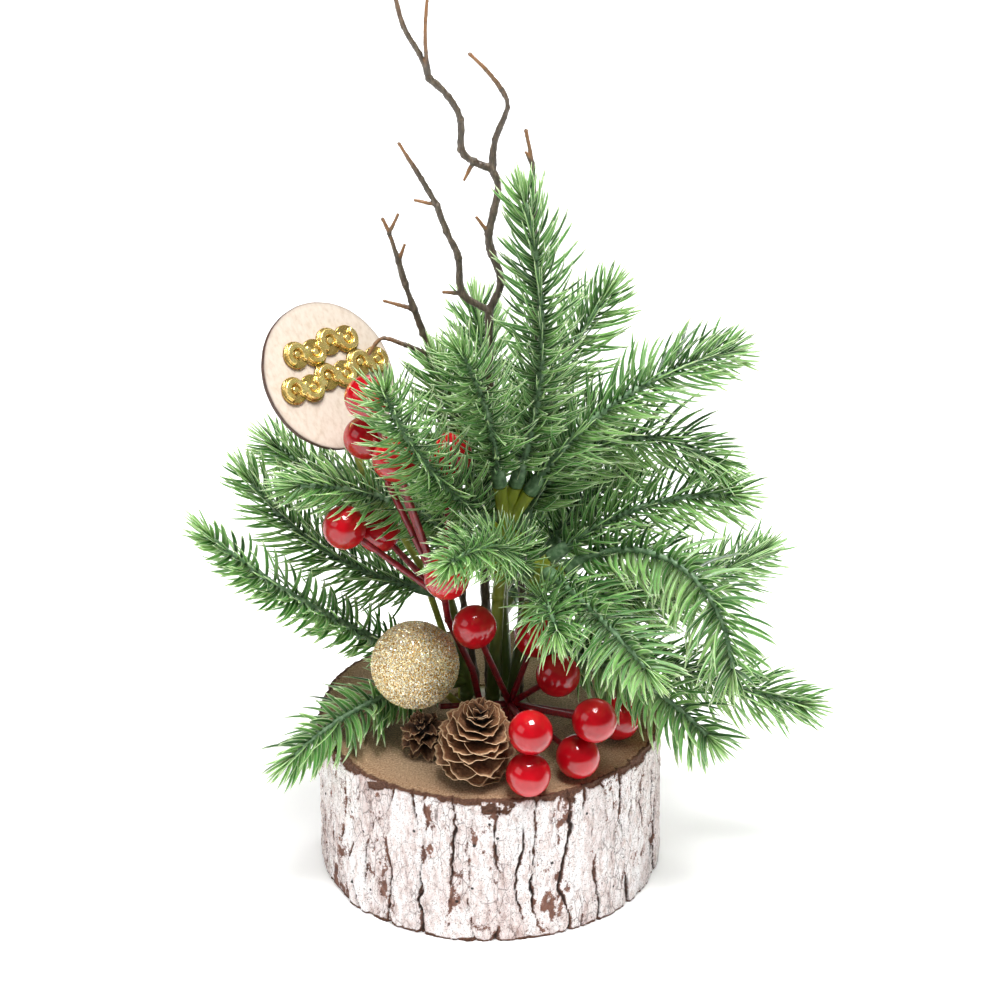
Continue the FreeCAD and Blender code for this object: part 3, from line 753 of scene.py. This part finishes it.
def bark_relief(angle, height, radius):
    """Depth below the outer face, and the amounts of paint, of crack and of rosy tone, on the side."""
    circumference = 2 * math.pi * radius
    around = angle * radius
    point = columns(np.cos(angle) * radius, np.sin(angle) * radius, height)
    grit = fractal(point * [0.60, 0.60, 0.34], 40, 4) - 0.5
    shove = 2.4 * (fractal(point * [0.20, 0.20, 0.16], 44, 4) - 0.5)
    wide, crack_number, plate = wandering_cracks(around + shove, height, PLATE_WIDTH, circumference,
                                                 3, 0.90)
    fine, fine_number, strip = wandering_cracks(around + 1.5 * shove, height, STRIP_WIDTH, circumference,
                                                13, 1.1)
    cell = columns(crack_number * 2.3, height * 0.055, crack_number * 0.9)
    open_here = np.clip((value_noise(cell, 50) - 0.22) * 2.6, 0, 1)
    width = 0.26 + 0.80 * open_here * value_noise(cell * [1, 2.6, 1] + 5, 51)
    crack = np.clip(1.2 - wide / width, 0, 1) * open_here
    fine_cell = columns(fine_number * 1.7, height * 0.085, fine_number * 0.4)
    fine_open = np.clip((value_noise(fine_cell, 52) - 0.46) * 3.5, 0, 1)
    hair = np.clip(1.1 - fine / 0.30, 0, 1) * fine_open
    step = value_noise(columns(plate * 5.1, height * 0.045, plate * 1.3), 53)
    ledge = value_noise(columns(strip * 3.1, height * 0.12, strip * 0.7), 54)
    flat = np.clip((step - 0.40) * 5, 0, 1)
    depth = 0.95 + 1.25 * crack + 0.45 * hair - 0.80 * flat - 0.55 * (ledge - 0.5) - 1.3 * grit
    bare = fractal(point * [0.15, 0.15, 0.060], 60, 3)
    paint = (0.86 + 0.30 * (flat - 0.5) - 0.9 * crack - 0.40 * hair + 1.5 * grit
             - 4.2 * np.clip(bare - 0.62, 0, 1))
    rosy = value_noise(columns(plate * 7.3, height * 0.02, plate * 2.9), 55)
    tone = 0.65 * rosy + 0.35 * ledge
    dark = np.clip(1.1 * crack ** 1.6 + 0.60 * hair, 0, 1)
    return np.clip(depth, 0.0, 3.2), np.clip(paint, 0, 1), dark, tone


def build_bark():
    """The bark as rings: up the side, in over the sawn top edge, and down the inside."""
    outer, _, half_height = node_half("base_bark")
    top = 2 * half_height
    inside = node_half("base_log")[0] - 0.3
    angles = np.linspace(0, 2 * math.pi, BARK_COLUMNS, endpoint=False)
    a, h = (table.ravel() for table in np.meshgrid(angles, np.linspace(0, top, BARK_ROWS)))
    depth, paint, crack, tone = bark_relief(a, h, outer)
    ragged = fractal(columns(np.cos(a) * 9, np.sin(a) * 9, h * 0.25), 80, 4)
    band = 0.9 + 17.0 * np.clip(ragged - 0.44, 0, 1) + 5.0 * crack
    edge_top = np.clip((h - top + band) / 0.6, 0, 1)
    edge_low = np.clip(((1.1 + 3.0 * np.clip(ragged - 0.45, 0, 1)) - h) / 0.6, 0, 1)
    brown = np.maximum(edge_top, edge_low)
    depth = depth + 0.8 * edge_top + 0.5 * edge_low
    radius = outer + 0.7 - depth
    verts = [columns(radius * np.cos(a), radius * np.sin(a), h)]
    data = [columns(paint * (1 - brown), crack, brown)]
    plates = [columns(tone, 0.0, 0.0)]
    all_brown = np.tile([0.0, 0.0, 1.0], (BARK_COLUMNS, 1))
    rim_radius = radius[-BARK_COLUMNS:]
    for step in range(1, RIM_STEPS + 1):
        share = step / RIM_STEPS
        r = rim_radius + (inside - rim_radius) * share
        x, y = r * np.cos(angles), r * np.sin(angles)
        fuzz = fractal(columns(x * 0.9, y * 0.9, 0.0), 90, 3) - 0.5
        verts.append(columns(x, y, top + 1.1 * fuzz * math.sin(math.pi * share) - 0.1 * share))
        data.append(all_brown)
        plates.append(columns(0.0, np.clip((share - 0.20 - 0.35 * fuzz) / 0.10, 0, 1), 0.0))
    for z in (top - 2.0, 0.0):
        verts.append(columns(inside * np.cos(angles), inside * np.sin(angles), z))
        data.append(all_brown)
        plates.append(np.zeros((BARK_COLUMNS, 3)))
    rings = BARK_ROWS + RIM_STEPS + 2
    total = rings * BARK_COLUMNS
    faces = [tuple(vertex % total for vertex in face) for face in ring_faces(rings + 1, BARK_COLUMNS)]
    make_piece("bark_shell", np.vstack(verts), faces, bark_material(), TREE, ("base_bark",),
               data={"bark": np.vstack(data), "plate": np.vstack(plates)})


# ---- trimmings

FLAKES = 21000
FLAKE_SIDES = 6
SCALE_COLUMNS = 15
SCALE_ROWS = 10


def ball_mesh(count, rows):
    """Unit sphere as rings of count vertices, with poles on Z."""
    turn = 2 * math.pi * np.arange(count) / count
    verts = [np.array([[0, 0, -1]])]
    for row in range(1, rows):
        polar = math.pi * row / rows
        verts.append(columns(math.sin(polar) * np.cos(turn), math.sin(polar) * np.sin(turn),
                             -math.cos(polar)))
    verts.append(np.array([[0, 0, 1]]))
    last = 1 + (rows - 2) * count
    faces = [(0, 1 + (c + 1) % count, 1 + c) for c in range(count)]
    faces += ring_faces(rows - 1, count, 1)
    faces += [(last + c, last + (c + 1) % count, last + count) for c in range(count)]
    return np.vstack(verts), faces


def build_berries():
    """Each berry as a slightly uneven lacquered ball with dimpled ends."""
    lacquer = berry_material()
    for name in [n for n in NODES if n.startswith("berry_") and not n.startswith("berry_stems")]:
        centre = node_centre(name)
        radius = node_half(name).max()
        rng = np.random.default_rng(sum(map(ord, name)))
        verts, faces = ball_mesh(48, 32)
        squash = 1 + rng.uniform(-0.015, 0.015, 3)
        pole = verts[:, 2]
        dimple = 1 - 0.05 * np.exp(-((1 + pole) / 0.02)) - 0.03 * np.exp(-((1 - pole) / 0.012))
        lump = 1 + 0.012 * (fractal(verts * 1.4 + rng.uniform(0, 9, 3), 7, 2) - 0.5)
        shape = verts * squash * (dimple * lump)[:, None] * radius
        spin = Matrix.Rotation(rng.uniform(0, 6.28), 3, "Z")
        tilt = spin @ Matrix.Rotation(rng.uniform(0.6, 2.4), 3, "X")
        shape = shape @ np.array(tilt).T + centre
        make_piece(name + "_skin", shape, faces, lacquer, TREE, (name,))


def build_glitter_ball():
    """A dull core covered in six-sided flakes, evenly spread and unevenly tilted."""
    centre = node_centre("glitter_ball")
    radius = node_half("glitter_ball").max()
    rng = np.random.default_rng(11)
    core, faces = ball_mesh(64, 40)
    index = np.arange(FLAKES)
    polar = np.arccos(1 - 2 * (index + 0.5) / FLAKES)
    turn = index * GOLDEN_ANGLE + rng.normal(0, 0.02, FLAKES)
    out = columns(np.sin(polar) * np.cos(turn), np.sin(polar) * np.sin(turn), np.cos(polar))
    tilt = unit(out + rng.normal(0, 0.42, (FLAKES, 3)))
    across = unit(np.cross(tilt, rng.normal(0, 1, (FLAKES, 3))))
    over = np.cross(tilt, across)
    size = rng.uniform(0.17, 0.32, (FLAKES, 1))
    seat = out * (radius - rng.uniform(0.0, 0.25, FLAKES))[:, None] + centre
    shade = np.clip(rng.normal(0.66, 0.32, FLAKES), 0, 1)
    corners = [seat + size * swing(across, over, 2 * math.pi * corner / FLAKE_SIDES)
               for corner in range(FLAKE_SIDES)]
    flakes = np.stack(corners, axis=1).reshape(-1, 3)
    first = range(len(core), len(core) + len(flakes), FLAKE_SIDES)
    faces += [tuple(range(corner, corner + FLAKE_SIDES)) for corner in first]
    tone = np.concatenate([np.full(len(core), 0.12), np.repeat(shade, FLAKE_SIDES)])
    make_piece("glitter_ball_flakes", np.vstack([core * (radius - 0.35) + centre, flakes]), faces,
               glitter_material(), TREE, ("glitter_ball",), smooth=False,
               data={"flake": columns(tone, 0.0, 0.0)})


def cone_axis(name):
    """Seat, upward axis, length and widest radius of a pine cone, from the CAD node's own points."""
    points = node_points(name)
    centre = points.mean(axis=0)
    spread = points - centre
    rows = np.linalg.svd(spread, full_matrices=False)[2]
    way = rows[np.argmax(np.abs(rows[:, 2]))]
    way = way * np.sign(way[2])
    run = spread @ way
    radial = spread - run[:, None] * way
    return centre + way * run.min(), unit(way), run.max() - run.min(), np.linalg.norm(radial, axis=1).max()


def cone_scale_sheet(style, rng):
    """One woody scale in its own frame, outward, aside and up: its lower and upper face, and how near
    the rim each point is."""
    phase = rng.uniform(0, 6.28, 4)
    slope = math.tan(math.radians(style["rise"]))
    points = np.zeros((2, SCALE_ROWS, SCALE_COLUMNS, 3))
    rim = np.zeros((2, SCALE_ROWS, SCALE_COLUMNS))
    for i in range(SCALE_ROWS):
        t = i / (SCALE_ROWS - 1)
        fan = 0.34 + 0.66 * math.sin(0.5 * math.pi * min(1.0, t * 1.15))
        for j in range(SCALE_COLUMNS):
            s = 2 * j / (SCALE_COLUMNS - 1) - 1
            notch = 1 - 0.30 * s * s * t - 0.10 * abs(s) ** 5 * t
            flutter = t ** 4 * (0.040 * math.sin(5 * s + phase[0]) + 0.028 * math.sin(13 * s + phase[1]))
            wave = math.sin(4.2 * s + phase[2]) + 0.6 * math.sin(9 * s + phase[3])
            along = style["reach"] * t * (notch + flutter)
            aside = style["span"] * 0.5 * s * fan
            up = (along * slope + style["cup"] * s * s * (0.35 + 0.65 * t) - style["curl"] * t ** 3
                  + style["ripple"] * t ** 2 * wave)
            points[:, i, j] = (along, aside, up)
            points[0, i, j, 2] -= 0.62 - 0.30 * t
            rim[:, i, j] = max(t ** 1.5, t * abs(s) ** 0.7)
    return points, rim


def scale_faces():
    """Faces of one scale: the upper and lower sheet and the thin edge round them."""
    wide, deep = SCALE_COLUMNS, SCALE_ROWS
    per = wide * deep
    faces = []
    for i in range(deep - 1):
        for j in range(wide - 1):
            a = i * wide + j
            faces.append((a + per, a + per + 1, a + per + wide + 1, a + per + wide))
            faces.append((a, a + wide, a + wide + 1, a + 1))
    loop = [i * wide for i in range(deep)] + [(deep - 1) * wide + j for j in range(1, wide)]
    loop += [i * wide + wide - 1 for i in range(deep - 2, -1, -1)] + [j for j in range(wide - 2, 0, -1)]
    for first, second in zip(loop, loop[1:] + loop[:1]):
        faces.append((first, second, per + second, per + first))
    return faces


def build_cone(name, count, material, span_share, ragged):
    """A pine cone of count scales up a spiral; span_share is a scale's width in cone radii."""
    seat, way, length, widest = cone_axis(name)
    rng = np.random.default_rng(len(name) + count)
    side = unit(np.cross(way, (0.2, 1.0, 0.1)))
    over = np.cross(way, side)
    verts, faces, data = [], [], []
    scale = scale_faces()
    for index in range(count):
        share = index / (count - 1)
        turn = GOLDEN_ANGLE * index + math.radians(rng.normal(0, 3))
        outward = swing(side, over, turn)
        around = np.cross(way, outward)
        outline = math.sin(math.pi * (0.36 + 0.60 * share ** 1.15)) ** 0.8
        rise = -4 + 30 * share + 46 * share ** 4 + rng.normal(0, 3 * ragged)
        reach = widest * max(0.20, outline) * rng.uniform(0.94, 1.03)
        style = {
            "reach": reach * math.cos(math.radians(max(0, rise))),
            "span": widest * span_share * (1 - 0.55 * share ** 1.6) * rng.uniform(0.9, 1.08),
            "rise": rise,
            "curl": widest * 0.05 * (1 - 0.5 * share),
            "cup": widest * (0.10 + 0.16 * share),
            "ripple": widest * 0.034 * ragged,
        }
        points, rim = cone_scale_sheet(style, rng)
        root = seat + way * (length * (0.10 + 0.78 * share))
        faces += shifted(scale, len(verts))
        verts += list((root + points @ np.array([outward, around, way])).reshape(-1, 3))
        out = np.linspace(0, 1, SCALE_ROWS)[None, :, None] + np.zeros_like(rim)
        data += list(np.stack([rim, out, np.full_like(rim, rng.random())], axis=-1).reshape(-1, 3))
    core, core_faces = ball_mesh(20, 12)
    stretched = core * [widest * 0.34, widest * 0.34, length * 0.44]
    faces += shifted(core_faces, len(verts))
    verts += list(seat + way * length * 0.46 + stretched @ np.array([side, over, way]))
    # The core takes the full painted shade, near black.
    data += [(0, 0, 0)] * len(core)
    make_piece(name + "_scales", verts, faces, material, TREE, (name,),
               data={"scale": data})


def disc_frame():
    """Points, outward normal and middle of the wooden disc."""
    points = node_points("plaque_disc")
    centre = points.mean(axis=0)
    rows = np.linalg.svd(points - centre, full_matrices=False)[2]
    return points, rows[2] * np.sign(rows[2][2]), centre


def build_disc():
    """The wooden disc, turned from a half profile with rounded, charred edges."""
    points, normal, centre = disc_frame()
    half = np.abs((points - centre) @ normal).max()
    radius = math.sqrt(np.linalg.norm(points - centre, axis=1).max() ** 2 - half ** 2)
    side = unit(np.cross((0, 0, 1), normal))
    over = np.cross(normal, side)
    count = 120
    profile = [(radius * 0.5, half, 0.0), (radius - 1.6, half, 0.0), (radius - 0.7, half, 0.12),
               (radius - 0.25, half, 0.55), (radius - 0.05, half - 0.15, 1.0), (radius, half - 0.4, 1.0),
               (radius, -half + 0.4, 1.0), (radius - 0.05, -half + 0.15, 1.0), (radius - 0.25, -half, 0.55),
               (radius - 1.0, -half, 0.0)]
    verts, burns = [centre + normal * half], [0.0]
    for r, z, burn in profile:
        for column in range(count):
            turn = 2 * math.pi * column / count
            wobble = 1 + 0.0015 * math.sin(9 * turn) + 0.001 * math.sin(23 * turn + 1)
            verts.append(centre + normal * z + r * wobble * swing(side, over, turn))
            burns.append(burn)
    verts.append(centre - normal * half)
    burns.append(0.0)
    last = 1 + (len(profile) - 1) * count
    faces = [(0, 1 + c, 1 + (c + 1) % count) for c in range(count)]
    faces += [tuple(reversed(face)) for face in ring_faces(len(profile), count, 1)]
    faces += [(len(verts) - 1, last + (c + 1) % count, last + c) for c in range(count)]
    make_piece("plaque_board", verts, faces, disc_material(), TREE, ("plaque_disc",),
               data={"board": columns(burns, 0.0, 0.0)})


def copied_shape(node, voxel, smoothing):
    """Vertices, normals and faces of a CAD node's shape, remeshed at the voxel size and smoothed."""
    work = add_object("work", NODES[node].data.copy())
    remesh = work.modifiers.new("remesh", "REMESH")
    remesh.mode = "VOXEL"
    remesh.voxel_size = voxel * MM
    soften = work.modifiers.new("soften", "SMOOTH")
    soften.iterations = smoothing
    soften.factor = 0.5
    bpy.context.view_layer.update()
    mesh = bpy.data.meshes.new_from_object(work.evaluated_get(bpy.context.evaluated_depsgraph_get()))
    verts, normals = vertex_table(mesh, "co") / MM, vertex_table(mesh, "normal")
    faces = [tuple(polygon.vertices) for polygon in mesh.polygons]
    old = work.data
    bpy.data.objects.remove(work)
    bpy.data.meshes.remove(old)
    bpy.data.meshes.remove(mesh)
    return verts, normals, faces


def build_ornament():
    """The gilt ornament, softened; the relief attribute is each point's height over the disc, 0 to 1."""
    verts, normals, faces = copied_shape("plaque_ornament", 0.22, 6)
    out = disc_frame()[1]
    height = verts @ out
    relief = (height - height.min()) / (height.max() - height.min())
    make_piece("plaque_scrolls", verts + normals * 0.12, faces, gilt_material(), TREE,
               ("plaque_ornament",), data={"relief": columns(relief, 0.0, 0.0)})


def local_thickness(verts, normals, faces):
    """Thickness of the shape under each vertex, by a ray straight into it; 3 mm where the ray escapes."""
    tree = BVHTree.FromPolygons([tuple(v) for v in verts], faces)
    result = np.full(len(verts), 3.0)
    for index, (v, n) in enumerate(zip(verts, normals)):
        hit = tree.ray_cast(Vector(v - n * 0.02), Vector(-n), 6.0)
        if hit[0] is not None:
            result[index] = hit[3]
    return result


def build_twigs():
    """The CAD twigs with lengthwise ridges and knots, in proportion to the local thickness."""
    material = twig_material()
    for node in [n for n in NODES if n.startswith("twig_")]:
        verts, normals, faces = copied_shape(node, 0.34, 2)
        thickness = local_thickness(verts, normals, faces)
        ridges = fractal(verts * [1.6, 1.6, 0.35], 70, 3) - 0.5
        knots = fractal(verts * 0.22, 74, 3) - 0.5
        push = np.clip(thickness, 0.5, 3.0) * (0.24 * ridges + 0.34 * knots) + 0.12
        thin = np.clip((1.35 - thickness) / 0.45, 0, 1)
        make_piece(node + "_bark", verts + normals * push[:, None], faces, material, TREE, (node,),
                   data={"twig": columns(thin, 0.0, 0.0)})


def finish_node(name, material):
    """A CAD node that stays, with its own material."""
    node = NODES[name]
    node.data.materials.clear()
    node.data.materials.append(material)


def build_kept_nodes():
    stem, wire, stick = stem_material(), wire_material(), stick_material()
    for name in NODES:
        if name.startswith("stem_"):
            finish_node(name, stem)
        elif name.startswith("berry_stems"):
            finish_node(name, wire)
        elif name.endswith("_stick"):
            finish_node(name, stick)
    finish_node("glue_plug", glue_material())
    finish_node("base_log", wood_top_material())


# ---- stage, light and camera

def build_stage():
    """A white floor, with a faint glow that keeps it as bright as the background."""
    shader = Shader("floor", Roughness=0.9, Emission_Color=(1, 1, 1, 1), Emission_Strength=0.38)
    cloud = shader.noise(shader.coordinates(), 3.0, 2.0)
    shader.link(shader.ramp(cloud, [(0.0, (0.93, 0.93, 0.93)), (1.0, (0.97, 0.97, 0.97))]), "Base Color")
    mesh = bpy.data.meshes.new("floor")
    half = 6.0
    corners = [(-half, -half, 0), (half, -half, 0), (half, half, 0), (-half, half, 0)]
    mesh.from_pydata(corners, [], [(0, 1, 2, 3)])
    mesh.materials.append(shader.material)
    floor = add_object("floor", mesh)


def add_area(name, place, size, power):
    """A softbox, size in metres and power in watts, that faces the middle of the tree."""
    target = (0.0, 0.0, 0.12)
    light = bpy.data.lights.new(name, "AREA")
    light.shape = "RECTANGLE"
    light.size, light.size_y = size
    light.energy = power
    lamp = add_object(name, light)
    lamp.location = place
    lamp.rotation_euler = (Vector(target) - Vector(place)).to_track_quat("-Z", "Y").to_euler()


def build_light():
    """A white surround, dimmer above; reflections see it bright below the horizon and nearly black above,
    with three softboxes."""
    world = bpy.data.worlds.new("studio")
    world.use_nodes = True
    graph = Graph(world.node_tree)
    way = graph.node("ShaderNodeTexCoord").outputs["Generated"]
    up = graph.node("ShaderNodeSeparateXYZ", i0=way).outputs[2]
    mirrored = graph.node("ShaderNodeLightPath").outputs["Is Glossy Ray"]
    strength = graph.node("ShaderNodeMix", i0=mirrored, i2=graph.levels(up, -0.05, 0.30, 0.80, 0.28),
                          i3=graph.levels(up, 0.0, 0.06, 0.80, 0.03)).outputs[0]
    background = graph.tree.nodes["Background"]
    graph.tree.links.new(strength, background.inputs["Strength"])
    background.inputs["Color"].default_value = (1.0, 1.0, 1.0, 1.0)
    bpy.context.scene.world = world
    bpy.context.scene.view_settings.view_transform = "Standard"
    add_area("softbox_top", (0.10, -0.22, 1.45), (0.55, 0.55), 31.0)
    add_area("softbox_left", (-1.9, -0.9, 1.3), (1.6, 1.2), 9.0)
    add_area("softbox_back", (0.3, 1.8, 1.3), (1.2, 0.8), 9.0)


def build_camera():
    """A long lens in front of the tree, looking down on it."""
    camera = bpy.data.cameras.new("camera")
    camera.sensor_width = 36.0
    camera.lens = 108.4
    camera.clip_start = 0.05
    camera.clip_end = 30.0
    view = add_object("camera", camera)
    view.location = (0.0036, -0.912, 0.584)
    view.rotation_euler = (math.radians(90 - 26.07), 0, 0)
    bpy.context.scene.camera = view


build_kept_nodes()
build_bark()
build_sprigs()
build_twigs()
build_berries()
build_glitter_ball()
build_cone("cone_front", 50, cone_material("cone_scale_front", 1.0), 1.10, 1.25)
build_cone("cone_back", 34, cone_material("cone_scale_back", 0.7), 0.62, 2.4)
build_disc()
build_ornament()
build_stage()
build_light()
build_camera()
